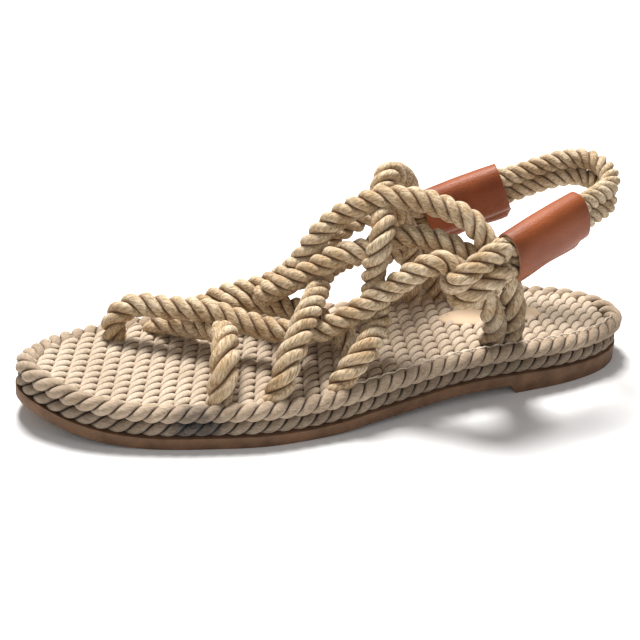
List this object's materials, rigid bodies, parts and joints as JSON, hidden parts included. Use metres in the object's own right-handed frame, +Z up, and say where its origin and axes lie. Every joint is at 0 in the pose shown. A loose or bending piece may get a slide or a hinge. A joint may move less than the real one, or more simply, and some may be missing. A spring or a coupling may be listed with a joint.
{
  "type": "rope sandal",
  "caption": "Flat rope sandal with a corded sole, an open upper of laid rope, two leather sleeves and a doubled rope sling behind the heel.",
  "frame": {"origin": "on the floor plane under the ball of the foot, on the centre line of the sole", "axes": "+Z up from the floor, -X towards the toe, +X towards the heel, -Y towards the outer side of the left foot"},
  "size_m": [0.252, 0.0855, 0.0858],
  "materials": {
    "crepe_rubber": "matt tan crepe rubber with a dark cut edge",
    "rim_cord": "coarse twisted cord, greyed with wear",
    "mat_cord": "twisted cord laid in close rows",
    "laid_rope": "three-strand cotton and hemp rope, undyed",
    "sling_rope": "thinner three-strand rope of the same fibre",
    "saddle_leather": "smooth saddle-brown leather, satin"
  },
  "bodies": {
    "root": {"outsole": "crepe_rubber", "footbed_mat": "mat_cord", "lower_rim_cord": "rim_cord", "upper_rim_cord": "rim_cord", "upper_ropes": "laid_rope", "heel_sling": "sling_rope", "outer_sleeve": "saddle_leather", "inner_sleeve": "saddle_leather"}
  },
  "joints": []
}
